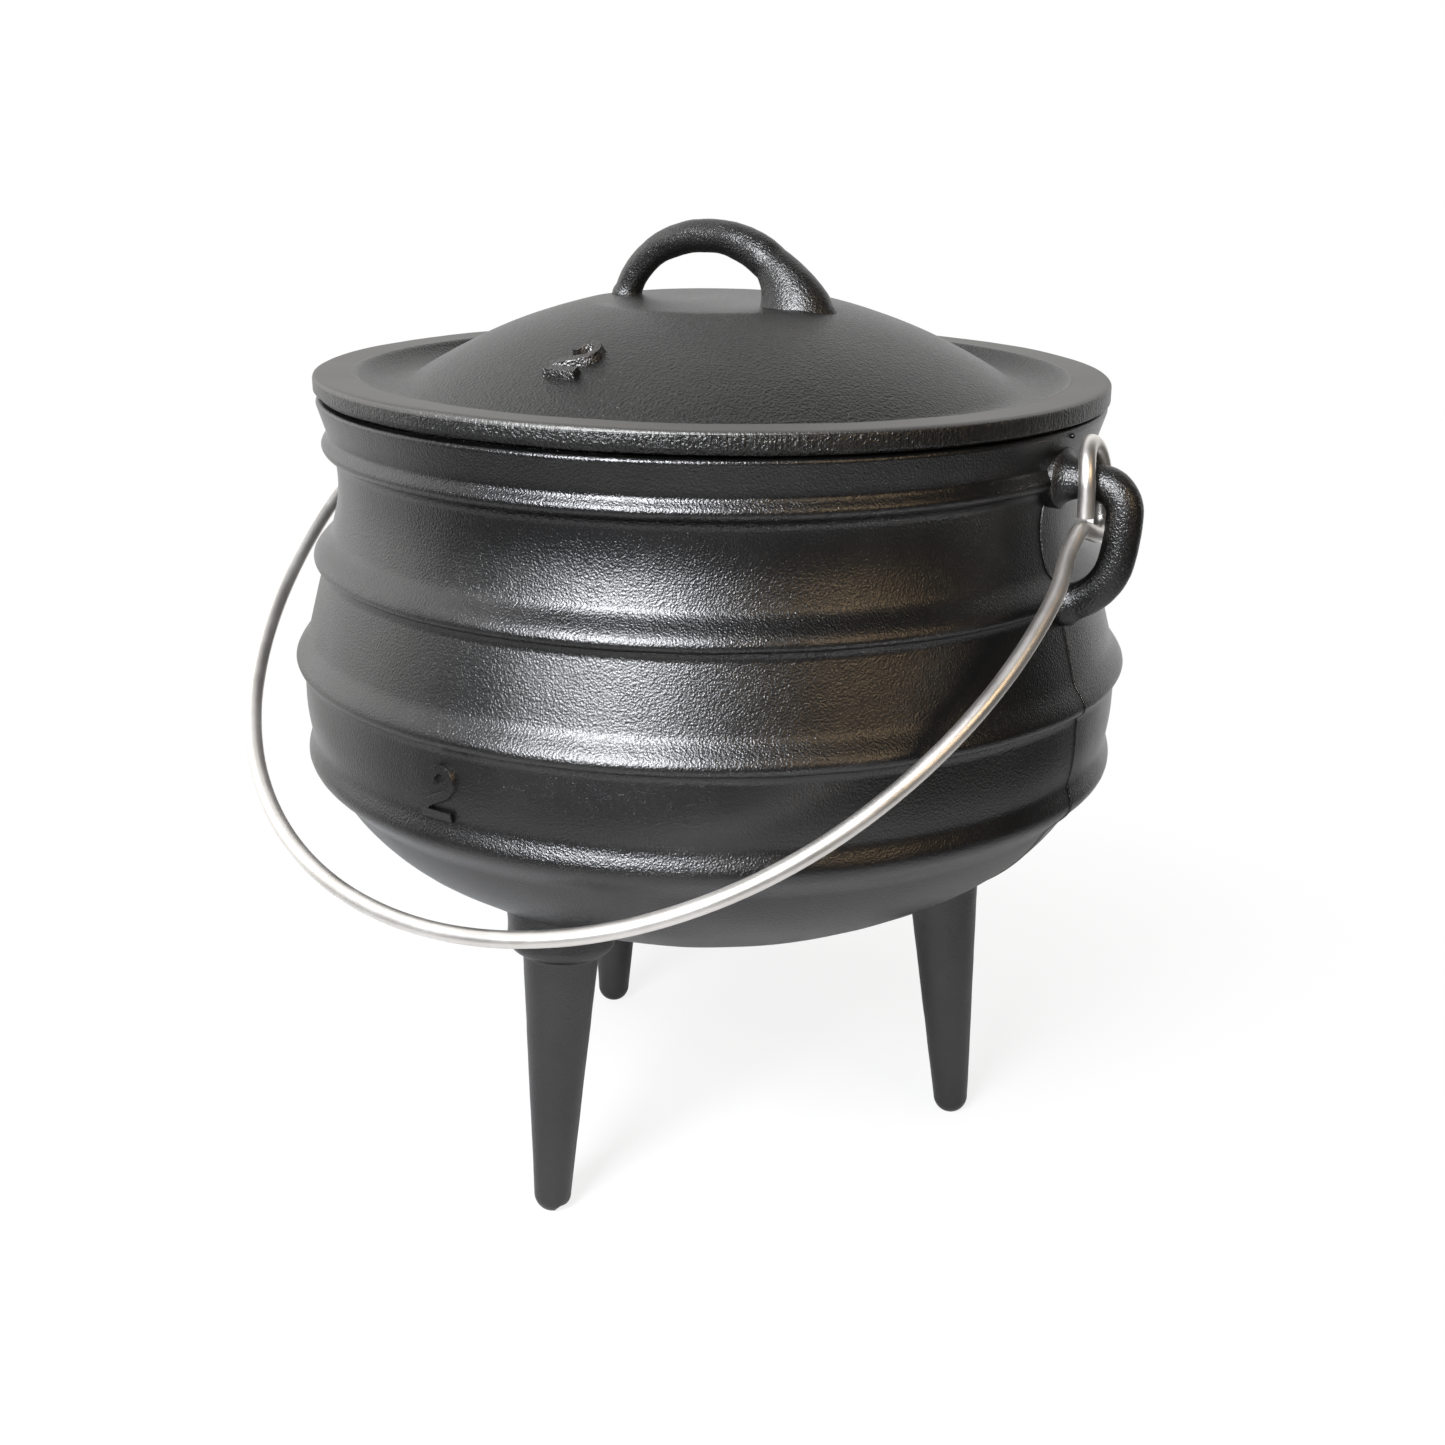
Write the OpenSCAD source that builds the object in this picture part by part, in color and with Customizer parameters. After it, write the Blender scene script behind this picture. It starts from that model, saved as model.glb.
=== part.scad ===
// Three-legged cast iron pot with a domed lid and a swinging wire bail.
// The pot's axis is Z, its feet stand on Z = 0, the ears lie along X and the bail hangs towards -Y.

/* [Bowl] */
// Outer radius of the straight belly wall
belly_radius = 126.8; // [115:0.1:140]
// Radius of the dished bottom
dish_radius = 180; // [165:1:200]
// Radius of the turn from the dished bottom into the belly wall
turn_radius = 59.3; // [52:0.1:64]
// Height of the bowl's lowest point above the ground
ground_clearance = 75; // [60:1:95]
// Height of the shoulder, where the wall starts to lean in, above the bowl's lowest point
shoulder_rise = 91.4; // [86:0.1:105]
// Height of the neck, the narrowest place, above the bowl's lowest point
neck_rise = 144.5; // [140:0.1:160]
// How much smaller the neck's radius is than the belly's
neck_inset = 12.8; // [8:0.1:18]
// Radius of the hollow curve at the neck
neck_curve = 40; // [30:1:50]
// Thickness of the cast wall
wall = 4.6; // [3.5:0.1:6]

/* [Lip] */
// Height of the lip's top face above the bowl's lowest point
lip_rise = 169; // [165:0.1:180]
// Outward lean of the lip, in degrees
lip_lean = 17; // [8:0.5:24]
// Edge rounding of the lip
lip_round = 1.2; // [0.6:0.1:1.6]

/* [Ribs] */
// Height of the lowest, middle, upper and top rib on the wall
rib_height = [3.6, 2.4, 3.7, 3]; // [1:0.1:5]
// Length of the smooth run-out above each rib's crest
rib_above = [8.8, 8, 8.2, 4.6]; // [3:0.1:10]
// Depth of the underside below each rib's crest
rib_below = [9, 2.8, 2.9, 2.6]; // [2:0.1:10]
// Distance of the lowest rib's crest below the shoulder
low_rib_drop = 31.9; // [28:0.1:36]
// Distance of the upper rib's crest above the shoulder
upper_rib_rise = 30.6; // [26:0.1:34]
// Distance of the top rib's crest below the lip's top face
top_rib_drop = 14.3; // [13:0.1:17]

/* [Legs] */
// Distance of the feet's circle inside the belly radius
leg_inset = 42.5; // [36:0.5:50]
// Outward lean of the legs, in degrees
leg_splay = 4.5; // [0:0.5:8]
// Diameter of a leg at its tip
leg_tip_d = 11.6; // [9:0.1:15]
// Diameter of a leg where it meets its collar
leg_root_d = 22.9; // [18:0.1:26]
// Depth ground off the round tip, which leaves a small flat
foot_flat_depth = 0.7; // [0.3:0.1:1.5]
// Diameter of the collar at a leg's root
collar_d = 32.6; // [28:0.1:38]
// How far the collar's lower edge lies below the bowl's surface
collar_drop = 9.5; // [6:0.1:14]
// Rounding of the collar's lower edge
collar_round = 4.5; // [2:0.1:5]
// Radius of the fillet between the leg and its collar
leg_fillet = 1.6; // [0.6:0.1:2]

/* [Ears] */
// Diameter of the ears' round section
ear_d = 10.4; // [8:0.1:11]
// Distance of the ears' top bar below the lip's top face
bar_drop = 13.7; // [13:0.1:16]
// Length of the straight top bar, measured from the wall
bar_length = 12.9; // [12:0.1:16]
// Radius of the corner at the bar's outer end
ear_corner = 8; // [7:0.1:10]
// Radius of the ear's long outer side
ear_side = 60; // [50:1:70]
// Angle that the long outer side turns through
ear_side_turn = 12.5; // [8:0.5:14]
// Radius of the curve that brings the ear back to the wall
ear_return = 18; // [16:0.1:20]
// Radius of the flare at the root of the ear's top bar
bar_flare = 10; // [7:0.1:12]
// Length of the flare at the root of the ear's top bar
bar_flare_length = 8.5; // [6:0.1:9]

/* [Lid] */
// How far the lid's edge stands out past the lip
lid_overhang = 0.6; // [0:0.1:3]
// Thickness of the lid's casting
lid_wall = 4.8; // [3.5:0.1:6]
// Radius of the lid's dome
lid_dome = 167; // [160:1:200]
// Height of the flat crown above the lip's top face
crown_rise = 26.9; // [25:0.1:32]
// Radius of the flat crown
crown_radius = 37.5; // [36:0.5:42]
// Height of the rim ring's top above the lip's top face
ring_rise = 6.6; // [5.5:0.1:8]
// Width of the flat rim ring
ring_width = 11.6; // [9:0.1:13]
// Depth of the gutter below the rim ring's top
gutter_depth = 4.1; // [2.5:0.1:5]
// Radius of the gutter's curves
gutter_curve = 9; // [6:0.1:11]
// Height of the shadow gap under the lid's outer edge
edge_relief = 1.5; // [0.8:0.1:2.2]
// Rounding of the rim ring's outer corner
edge_round = 2.6; // [1:0.1:3]
// Clearance of the locating ring inside the pot's mouth
mouth_clearance = 1.2; // [0.6:0.1:2]
// How far the locating ring reaches into the mouth
locator_depth = 5.5; // [4:0.1:8]
// Width of the locating ring
locator_width = 4.4; // [3:0.1:6]

/* [Lid handle] */
// Diameter of the handle's round section
handle_d = 9.6; // [8:0.1:11]
// Height of the handle's centre line at its top, above the crown
handle_rise = 19.2; // [17:0.1:24]
// Distance of each handle foot from the lid's axis
handle_reach = 30; // [26:0.5:31]
// Radius of the flare at the narrow foot and at the broad foot
foot_flare = [8.6, 11.5]; // [6:0.1:13]
// Height of the flare at the feet
flare_height = 4.5; // [2.5:0.1:6]

/* [Bail] */
// Diameter of the steel wire
wire_d = 4.8; // [4:0.1:5.4]
// Angle between the hanging bail and straight down, in degrees
hang_angle = 52.5; // [48:0.5:60]
// Clearance between the bow's widest place and the widest rib, from the front
bow_clearance = 1; // [0.5:0.1:4]
// How much the bow's bottom is rounder than its half width
bow_flattening = 4.2; // [2:0.1:6]
// Half of the angle that the bow's bottom arc turns through
bow_half_turn = 58.5; // [55:0.5:62]
// Distance from the bow's shoulders to the centre of its bottom arc
bow_side = 41; // [34:0.5:48]
// Length of the straight wire just below each shoulder
shoulder_straight = 4; // [2:0.5:6]

/* [Wire eyes] */
// Radial clearance between the wire eye and the ear's bar
eye_clearance = 0.8; // [0.4:0.1:1]
// Distance of the eye's plane inside the outer end of the straight bar
eye_inset = 2; // [1.6:0.1:2.6]
// Distance of the shoulder in front of the bar's centre
shoulder_front = 9; // [8:0.1:10]
// Distance of the shoulder below the bar's centre
shoulder_drop = 11.2; // [11:0.1:12.5]
// Slope of the wire that passes under the bar, in degrees
crossing_slope = 18; // [12:0.5:20]
// Bend radius of the eye's lower corner
eye_corner = 5; // [4:0.1:5.5]
// Bend radius of the shoulder
shoulder_bend = 5; // [4:0.1:6]
// Length of the eye's free end below the bar's centre
free_end = 8.3; // [6:0.1:9]

/* [Hidden] */
iron = [0.17, 0.17, 0.175];
steel = [0.74, 0.72, 0.69];
around = 128;
arc_steps = 10;
joint_overlap = 1;
tuck = 0.2;
step = 0.08;
leg_angles = [-90, 30, 150];

// Heights of the pot's features above the ground
shoulder_z = ground_clearance + shoulder_rise;
neck_z = ground_clearance + neck_rise;
lip_z = ground_clearance + lip_rise;
neck_radius = belly_radius - neck_inset;

// Centres of the arcs that make the wall's outline
dish_centre = [0, ground_clearance + dish_radius];
turn_x = belly_radius - turn_radius;
turn_centre = [turn_x, dish_centre.y - sqrt(pow(dish_radius - turn_radius, 2) - pow(turn_x, 2))];
turn_start = asin(turn_x / (dish_radius - turn_radius));
neck_arc = min(neck_curve,
    0.9 * (pow(neck_z - shoulder_z, 2) + pow(neck_inset, 2)) / (2 * neck_inset));
neck_centre = [neck_radius + neck_arc, neck_z];

// Lean of the wall between shoulder and neck, which is tangent to the neck's curve
lean_run = neck_centre - [belly_radius, shoulder_z];
wall_lean = asin(neck_arc / norm(lean_run)) - atan2(lean_run.x, lean_run.y);

// Ribs from the lowest to the top one
rib_z = [
    shoulder_z - low_rib_drop, shoulder_z - 0.4, shoulder_z + upper_rib_rise, lip_z - top_rib_drop
];
rib_soft = [true, false, false, false];

// Points of an arc about a centre
function arc(c, r, from, to, n = arc_steps) =
    [for (i = [0:n]) let (a = from + (to - from) * i / n) c + r * [cos(a), sin(a)]];

// Evenly spaced values, without the last
function span(from, to, n) = [for (i = [0:n - 1]) from + (to - from) * i / n];

// Heights at which the wall's outline changes from one piece to the next, at a depth d in the wall
function turn_z(d) = dish_centre.y - (dish_radius - d) * cos(turn_start);
function lean_z(d) = shoulder_z - d * tan(wall_lean / 2);
function neck_low_z(d) = neck_z - (neck_arc + d) * sin(wall_lean);
function neck_high_z(d) = neck_z + (neck_arc + d) * sin(lip_lean);

// Radius of the plain wall at height z, at a depth d in the wall
function wall_radius(z, d = 0) =
    z < turn_z(d) ? sqrt(pow(dish_radius - d, 2) - pow(dish_centre.y - z, 2))
    : z < turn_centre.y ? turn_centre.x + sqrt(pow(turn_radius - d, 2) - pow(turn_centre.y - z, 2))
    : z < lean_z(d) ? belly_radius - d
    : z < neck_low_z(d) ? belly_radius - d - (z - lean_z(d)) * tan(wall_lean)
    : z < neck_high_z(d) ? neck_centre.x - sqrt(pow(neck_arc + d, 2) - pow(z - neck_z, 2))
    : neck_centre.x - (neck_arc + d) * cos(lip_lean) + (z - neck_high_z(d)) * tan(lip_lean);

// How far rib i stands out of the wall at a distance t above its crest
function rib_out(i, t) =
    t > 0 ? rib_height[i] * (1 + cos(180 * min(t / rib_above[i], 1))) / 2
    : rib_soft[i] ? rib_height[i] * (1 + cos(180 * min(-t / rib_below[i], 1))) / 2
    : rib_height[i] * sqrt(1 - pow(min(-t / rib_below[i], 1), 2));

function ribs_out(z) = rib_out(0, z - rib_z[0]) + rib_out(1, z - rib_z[1])
    + rib_out(2, z - rib_z[2]) + rib_out(3, z - rib_z[3]);

// Heights of the outline's points on rib i, closest together at its crease
function rib_stations(i) = concat(
    [for (a = span(0, 90, 7)) rib_z[i] - rib_below[i] * cos(a)],
    span(rib_z[i], rib_z[i] + rib_above[i], 12)
);

// Centres of the lip's two rounded edges
lip_outer = [wall_radius(lip_z - lip_round, lip_round), lip_z - lip_round];
lip_inner = [wall_radius(lip_z - lip_round, wall - lip_round), lip_z - lip_round];
lip_radius = lip_outer.x + lip_round;

// Heights of the outline's points from the turn up to the lip
outer_stations = concat(
    span(turn_z(0), rib_z[0] - rib_below[0], 8), rib_stations(0),
    span(rib_z[0] + rib_above[0], rib_z[1] - rib_below[1], 6), rib_stations(1),
    span(rib_z[1] + rib_above[1], rib_z[2] - rib_below[2], 2), rib_stations(2),
    span(rib_z[2] + rib_above[2], rib_z[3] - rib_below[3], 7), rib_stations(3),
    [rib_z[3] + rib_above[3]]
);

outer_outline = concat(
    arc(dish_centre, dish_radius, -90, turn_start - 90),
    [for (z = outer_stations) if (z > turn_z(0)) [wall_radius(z) + ribs_out(z), z]],
    arc(lip_outer, lip_round, -lip_lean, 90, 5),
    [[0, lip_z]]
);

// The hollow, which runs out past the lip's top
inner_outline = concat(
    arc(dish_centre, dish_radius - wall, -90, turn_start - 90),
    arc(turn_centre, turn_radius - wall, turn_start - 90, 0),
    [[belly_radius - wall, lean_z(wall)]],
    arc(neck_centre, neck_arc + wall, 180 + wall_lean, 180 - lip_lean),
    arc(lip_inner, lip_round, 180 - lip_lean, 90, 5),
    [[lip_inner.x, lip_z + joint_overlap], [0, lip_z + joint_overlap]]
);

// Leg and collar, along the leg's own axis
leg_radius = belly_radius - leg_inset;
leg_root_z = dish_centre.y - sqrt(pow(dish_radius, 2) - pow(leg_radius, 2)) - collar_drop;
leg_top_z = leg_root_z + collar_drop + collar_d / 2;
tip_r = leg_tip_d / 2;
collar_r = collar_d / 2;
leg_outline = concat(
    arc([0, tip_r], tip_r, -90, 0),
    arc([leg_root_d / 2 + leg_fillet, leg_root_z - leg_fillet], leg_fillet, 180, 90, 4),
    arc([collar_r - collar_round, leg_root_z + collar_round], collar_round, -60, 0),
    [[collar_r, leg_top_z], [0, leg_top_z]]
);

// Ear's centre line in the plane of X and Z
bar_z = lip_z - bar_drop;
bar_end = wall_radius(bar_z) + bar_length;
ear_corner_centre = [bar_end, bar_z - ear_corner];
ear_side_centre = ear_corner_centre - [ear_side - ear_corner, 0];
ear_return_centre = ear_side_centre
    + (ear_side - ear_return) * [cos(ear_side_turn), -sin(ear_side_turn)];
ear_root = ear_return_centre - [0, ear_return];

// Lid's outline
lid_radius = lip_radius + lid_overhang;
crown_z = lip_z + crown_rise;
ring_z = lip_z + ring_rise;
gutter_z = ring_z - gutter_depth;
dome_centre = [0, crown_z - sqrt(pow(lid_dome, 2) - pow(crown_radius, 2))];
ring_inner = lid_radius - ring_width;
ring_edge_round = 2.5;
ring_edge_centre = [ring_inner, ring_z - ring_edge_round];
gutter_centre_z = gutter_z + gutter_curve;
gutter_in = [sqrt(pow(lid_dome + gutter_curve, 2) - pow(gutter_centre_z - dome_centre.y, 2)),
    gutter_centre_z];
edge_reach = gutter_curve + ring_edge_round;
edge_lift = gutter_centre_z - ring_edge_centre.y;
gutter_out = [ring_edge_centre.x - sqrt(pow(edge_reach, 2) - pow(edge_lift, 2)), gutter_centre_z];
edge_angle = asin(edge_lift / edge_reach);
dome_end = atan2(gutter_in.y - dome_centre.y, gutter_in.x);
dome_start = atan2(crown_z - dome_centre.y, crown_radius);
under_z = gutter_z - lid_wall;
under_dome = lid_dome - lid_wall;
under_dome_end = asin((under_z - dome_centre.y) / under_dome);
under_crown = sqrt(pow(under_dome, 2) - pow(crown_z - lid_wall - dome_centre.y, 2));
seat_outer = lip_outer.x;
locator_z = lip_z - locator_depth;
locator_low = wall_radius(locator_z, wall) - mouth_clearance;
under_edge = 0.8;

lid_outline = concat(
    [[0, crown_z]],
    arc(dome_centre, lid_dome, dome_start, dome_end, 14),
    arc(gutter_in, gutter_curve, dome_end - 180, -90, 5),
    arc(gutter_out, gutter_curve, -90, -edge_angle, 6),
    arc(ring_edge_centre, ring_edge_round, 180 - edge_angle, 90, 5),
    arc([lid_radius - edge_round, ring_z - edge_round], edge_round, 90, 0, 6),
    arc([lid_radius - under_edge, lip_z + edge_relief + under_edge], under_edge, 0, -90, 4),
    [[seat_outer + edge_relief, lip_z + edge_relief], [seat_outer, lip_z]],
    [[locator_low, lip_z], [locator_low, locator_z + 1], [locator_low - 1, locator_z]],
    [[locator_low - locator_width, locator_z], [locator_low - locator_width, under_z]],
    arc(dome_centre, under_dome, under_dome_end, dome_start + 2, 14),
    [[under_crown, crown_z - lid_wall], [0, crown_z - lid_wall]]
);

// Lid handle: an arch of one radius through the top and both feet
arch_radius = (pow(handle_reach, 2) + pow(handle_rise, 2)) / (2 * handle_rise);
arch_centre_z = crown_z + handle_rise - arch_radius;
arch_end = asin((crown_z - lid_wall / 2 - arch_centre_z) / arch_radius);

// Bail: the bow lies in its own plane, with the shoulders at y = 0 and its bottom towards -y
eye_x = bar_end - eye_inset;
half_span = max(belly_radius + rib_height[1] + bow_clearance, eye_x + wire_d / 2);
bow_radius = half_span - bow_flattening;
bow_side_radius = bow_radius + bow_flattening / (1 - sin(bow_half_turn));
bow_centre = [0, -bow_side];
bow_side_centre = bow_centre
    - (bow_side_radius - bow_radius) * [sin(bow_half_turn), -cos(bow_half_turn)];
swan_run = -bow_side_centre.y - shoulder_straight;
swan_step = half_span - eye_x;
swan_turn = 2 * atan(swan_step / swan_run);
swan_radius = swan_run / (2 * sin(swan_turn));
swan_low = [half_span - swan_radius, bow_side_centre.y];
swan_high = swan_low + 2 * swan_radius * [cos(swan_turn), sin(swan_turn)];

// Eye's centre line in the plane of Y and Z, measured from the bar's centre
eye_radius = ear_d / 2 + eye_clearance + wire_d / 2;
shoulder = [-shoulder_front, -shoulder_drop];
bow_heading = 270 - hang_angle;
crossing_heading = 360 - crossing_slope;
shoulder_half = (crossing_heading - bow_heading) / 2;
shoulder_bisector = (crossing_heading + bow_heading) / 2;
shoulder_centre = shoulder
    + shoulder_bend / sin(shoulder_half) * [cos(shoulder_bisector), sin(shoulder_bisector)];
shoulder_reach = shoulder_bend / tan(shoulder_half);
corner_x = eye_radius - eye_corner;
corner_centre = [corner_x, shoulder.y - (corner_x - shoulder.x) * tan(crossing_slope)
    + eye_corner / cos(crossing_slope)];
corner_start = corner_centre - eye_corner * [sin(crossing_slope), cos(crossing_slope)];
crossing_start = shoulder
    + shoulder_reach * [cos(crossing_heading), sin(crossing_heading)];

// Bent bars are drawn as stretches that alternate between the bar's own diameter and a trifle more.
// Each thin stretch is tucked a little way into its thick neighbours, so that they join as one solid.

// A round bar bent about a centre in the plane of its first two axes, longer by extra at both ends
module bend(centre, radius, from, to, d, extra = 0) {
    more = sign(to - from) * extra / radius * 180 / PI;
    translate([centre.x, centre.y, 0])
        rotate([0, 0, from - more])
            rotate_extrude(angle = to - from + 2 * more, $fn = around)
                translate([radius, 0])
                    circle(d = d, $fn = 48);
}

// A straight round bar between two points of the same plane
module run(p, q, d) {
    translate([p.x, p.y, 0])
        rotate([0, 0, atan2(q.y - p.y, q.x - p.x)])
            rotate([0, 90, 0])
                cylinder(d = d, h = norm(q - p), $fn = 48);
}

// Hollow-sided flare at the root of a bar of diameter d that grows along Z out of a wall at z = 0
module flare(d, radius, length, depth) {
    top_r = d / 2 - 0.4;
    rotate_extrude($fn = 64)
        polygon(concat(
            [[0, -depth], [radius, -depth]],
            [for (p = arc([1, 1], 1, -90, -180, 8)) [top_r + (radius - top_r) * p.x, length * p.y]],
            [[0, length]]
        ));
}

module leg() {
    translate([leg_radius, 0, -foot_flat_depth])
        rotate([0, -leg_splay, 0])
            rotate_extrude($fn = 64)
                polygon(leg_outline);
}

module ear() {
    rotate([90, 0, 0]) {
        run([wall_radius(bar_z, wall / 2), bar_z], [bar_end, bar_z], ear_d);
        bend(ear_corner_centre, ear_corner, 0, 90, ear_d - step, tuck);
        bend(ear_side_centre, ear_side, -ear_side_turn, 0, ear_d);
        bend(ear_return_centre, ear_return, -90, -ear_side_turn, ear_d - step, tuck);
        run(ear_root, [wall_radius(ear_root.y) - 2 * wall, ear_root.y], ear_d);
        translate([wall_radius(bar_z), bar_z, 0])
            rotate([0, 90, 0])
                flare(ear_d, bar_flare, bar_flare_length, wall / 2);
    }
}

module pot() {
    color(iron)
        difference() {
            union() {
                rotate_extrude($fn = around) polygon(outer_outline);
                for (a = leg_angles) rotate([0, 0, a]) leg();
                for (a = [0, 180]) rotate([0, 0, a]) ear();
            }
            rotate_extrude($fn = around) polygon(inner_outline);
            translate([0, 0, -ground_clearance / 2])
                cube([2 * belly_radius, 2 * belly_radius, ground_clearance], center = true);
        }
}

module lid() {
    color(iron)
        union() {
            rotate_extrude($fn = around) polygon(lid_outline);
            rotate([90, 0, 0])
                bend([0, arch_centre_z], arch_radius, arch_end, 180 - arch_end, handle_d);
            for (foot = [0, 1])
                translate([(2 * foot - 1) * (handle_reach - 1), 0, crown_z])
                    flare(handle_d, foot_flare[foot], flare_height, lid_wall / 2);
        }
}

module half_bow() {
    bend(bow_side_centre, bow_side_radius, bow_half_turn - 90, 0, wire_d, tuck);
    bend(swan_low, swan_radius, 0, swan_turn, wire_d + step);
    bend(swan_high, swan_radius, 180, 180 + swan_turn, wire_d, tuck);
    run([eye_x, -shoulder_straight], [eye_x, -shoulder_reach], wire_d + step);
}

module eye() {
    bend(shoulder_centre, shoulder_bend, crossing_heading - 270, bow_heading - 90, wire_d, tuck);
    run(crossing_start, corner_start, wire_d + step);
    bend(corner_centre, eye_corner, -90 - crossing_slope, 0, wire_d, tuck);
    run([eye_radius, corner_centre.y], [eye_radius, 0], wire_d + step);
    bend([0, 0], eye_radius, 0, 180, wire_d, tuck);
    run([-eye_radius, -free_end], [-eye_radius, 0], wire_d + step);
}

module bail() {
    color(steel)
        union() {
            translate([0, shoulder.x, bar_z + shoulder.y])
                rotate([90 - hang_angle, 0, 0]) {
                    bend(bow_centre, bow_radius, -90 - bow_half_turn, bow_half_turn - 90, wire_d + step);
                    half_bow();
                    mirror([1, 0, 0]) half_bow();
                }
            for (side = [-1, 1])
                translate([side * eye_x, 0, bar_z])
                    rotate([90, 0, 90])
                        eye();
        }
}

pot();
lid();
bail();
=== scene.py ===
"""Looks of a three-legged cast iron pot with a ribbed belly, a domed lid and a swinging wire bail.

Lengths in the shape functions are millimetres in the model's own frame: Z is the pot's axis, the ears
lie along X and the bail hangs towards -Y. make_piece turns them into metres.
"""

import math

import bpy
import numpy as np
from mathutils import Matrix, Vector, noise


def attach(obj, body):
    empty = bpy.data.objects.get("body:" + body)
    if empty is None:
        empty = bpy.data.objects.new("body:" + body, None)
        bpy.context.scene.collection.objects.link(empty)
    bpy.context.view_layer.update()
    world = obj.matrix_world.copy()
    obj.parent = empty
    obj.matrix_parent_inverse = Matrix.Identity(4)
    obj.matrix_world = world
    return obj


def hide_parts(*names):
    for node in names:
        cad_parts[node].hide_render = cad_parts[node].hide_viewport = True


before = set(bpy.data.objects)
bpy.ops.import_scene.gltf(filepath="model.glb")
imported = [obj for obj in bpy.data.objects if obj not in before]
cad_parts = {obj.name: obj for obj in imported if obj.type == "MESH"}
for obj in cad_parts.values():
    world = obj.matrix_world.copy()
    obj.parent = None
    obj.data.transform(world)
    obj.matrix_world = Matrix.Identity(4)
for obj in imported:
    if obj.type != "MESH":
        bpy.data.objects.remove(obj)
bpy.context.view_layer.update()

MM = 0.001

# Bowl
BELLY_RADIUS = 126.8
DISH_RADIUS = 180.0
TURN_RADIUS = 59.3
GROUND_CLEARANCE = 75.0
SHOULDER_Z = 166.4
NECK_Z = 219.5
NECK_RADIUS = 114.0
NECK_CURVE = 40.0
WALL = 4.6
LIP_Z = 244.0
LIP_LEAN = 17.0
LIP_ROUND = 1.2

# Ribs from the lowest to the top one: height on the wall, run-out above the crest, underside below it,
# height of the crest above the ground, and whether the underside is soft
RIBS = [
    (3.6, 8.8, 9.0, 134.5, True),
    (2.4, 8.0, 2.8, 166.0, False),
    (3.7, 8.2, 2.9, 197.0, False),
    (3.0, 4.6, 2.6, 229.7, False),
]

# Legs
LEG_ANGLES = (-90, 30, 150)
LEG_RADIUS = 84.3
LEG_SPLAY = 4.5
LEG_TIP_D = 11.6
LEG_ROOT_D = 22.9
FOOT_FLAT = 0.7
COLLAR_D = 32.6
COLLAR_DROP = 9.5
COLLAR_ROUND = 4.5
COLLAR_STRAIGHT = 3.5
ROOT_FILLET = 1.6

# The break in the front foot: its distance from the leg's middle, the run of its slope, and its heights
CHIP_START = 1.3
CHIP_RUN = 1.6
CHIP_LOW = 1.1
CHIP_HEIGHT = 2.5

# Ears
EAR_D = 10.4
BAR_Z = 230.3
BAR_END = 128.4
EAR_CORNER = 8.0
EAR_SIDE = 60.0
EAR_SIDE_TURN = 12.5
EAR_RETURN = 18.0

# How much an ear's bar swells at the wall, and over what length: its upper and its lower root
EAR_ROOTS = ((3.4, 6.5), (1.6, 3.0))

# Lid
LID_RADIUS = 119.84
LID_WALL = 4.8
LID_DOME = 167.0
CROWN_Z = 270.9
CROWN_RADIUS = 37.5
DOME_CENTRE_Z = CROWN_Z - math.sqrt(LID_DOME ** 2 - CROWN_RADIUS ** 2)
RING_Z = 250.6
RING_WIDTH = 11.6
RING_EDGE_ROUND = 2.5
GUTTER_DEPTH = 4.1
GUTTER_CURVE = 9.0
EDGE_RELIEF = 1.5
EDGE_ROUND = 1.6
LOCATOR_LOW = 111.9
LOCATOR_Z = 238.5
LOCATOR_WIDTH = 4.4
SEAT_OUTER = 118.0

# The rim isn't quite flat: its lift in front, its drop, and where the drop is deepest
RIM_LIFT = 1.1
RIM_DROP = 0.8
DROP_AZIMUTH = 110.0

# Lid handle: the top of its centre line, the reach of its two feet, and their flare at +X
HANDLE_TOP_X = -0.8
HANDLE_TOP_Z = 289.6
HANDLE_LOW_Z = 266.0
HANDLE_LEFT = 32.2
HANDLE_RIGHT = 30.0
FLARE_TOP_Z = 282.5
FLARE_ACROSS = 5.4
FLARE_ALONG = 8.6
FOOT_Z = 266.8

# Bail
WIRE_D = 4.8
HANG_ANGLE = 52.5
HALF_SPAN = 130.2
BOW_FLATTENING = 4.2
BOW_HALF_TURN = 58.5
BOW_SIDE = 41.0
SHOULDER_STRAIGHT = 4.0
EYE_X = 127.6
EYE_CLEARANCE = 0.8
SHOULDER_FRONT = 9.0
SHOULDER_DROP = 11.2
CROSSING_SLOPE = 18.0
EYE_CORNER = 5.0
SHOULDER_BEND = 5.0
FREE_END = 8.3

# The hook is higher than wide, and leans in at its top and out at its free end
EYE_STRETCH = 1.25
EYE_LEAN_TOP = -2.8
EYE_LEAN_END = 1.0

# The raised figures: the belly's height and place round it, and the same on the lid, with its radius
BELLY_FIGURE_Z = 150.0
BELLY_FIGURE_SHIFT = -1.2
LID_FIGURE_RADIUS = 70.0
LID_FIGURE_SHIFT = 3.3

# The photo's camera: it stands at CAMERA_AZIMUTH, measured from -Y towards +X; metres and degrees
CAMERA_AZIMUTH = 34.6
CAMERA_DISTANCE = 0.5829
CAMERA_HEIGHT = 0.3289
CAMERA_YAW = 0.41
CAMERA_PITCH = 18.27
CAMERA_ROLL = -0.61
CAMERA_LENS = 47.17

# Grains per metre on the plain casting, and the heights of its swell, cells and grain in metres
GRAIN_SCALE = 2000
SWELL_HEIGHT = 0.0005
CELL_HEIGHT = 0.00011
GRAIN_HEIGHT = 0.00015

# The core's mark behind each ear's opening
CORE_WIDTH = 10.0
CORE_HEIGHT = 25.0
CORE_Z = 213.0
CORE_RISE = 0.3

# A pimple of iron under the rim, above the right ear
PIP_ANGLE = 0.6
PIP_Z = 241.9
PIP_RADIUS = 0.8

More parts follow.
